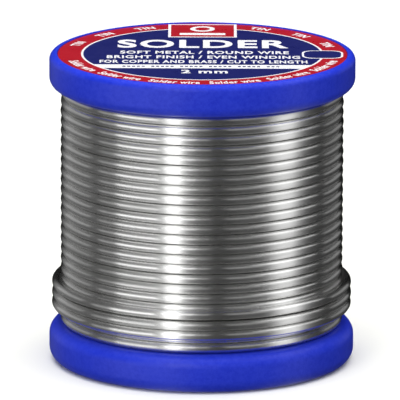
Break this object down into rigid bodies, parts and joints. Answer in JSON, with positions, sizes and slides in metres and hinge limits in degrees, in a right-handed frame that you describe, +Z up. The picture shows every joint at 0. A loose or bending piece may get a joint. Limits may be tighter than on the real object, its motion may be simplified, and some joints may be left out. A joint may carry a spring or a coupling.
{
  "type": "solder wire spool",
  "caption": "Blue plastic spool with two thick flanges, a printed round label in the upper rim, wound full of bright tin solder wire.",
  "frame": {"origin": "centre of the spool's foot, on the winding axis", "axes": "+Z up along the winding axis, from the open spindle bore to the labelled flange; the picture looks along +Y"},
  "size_m": [0.061, 0.061, 0.0624],
  "materials": {
    "spool_plastic": "moulded, satin gloss, royal blue",
    "label_card": "printed and varnished card, red ring round a navy disc",
    "solder_wire": "bright drawn tin alloy"
  },
  "bodies": {
    "root": {"lower_spool_half": "spool_plastic", "upper_spool_half": "spool_plastic", "top_label": "label_card", "bottom_label": "label_card", "wire_layer_1": "solder_wire", "wire_layer_2": "solder_wire", "wire_layer_3": "solder_wire", "wire_layer_4": "solder_wire", "wire_layer_5": "solder_wire", "wire_layer_6": "solder_wire", "wire_layer_7": "solder_wire", "wire_outer_turns": "solder_wire"}
  },
  "joints": []
}
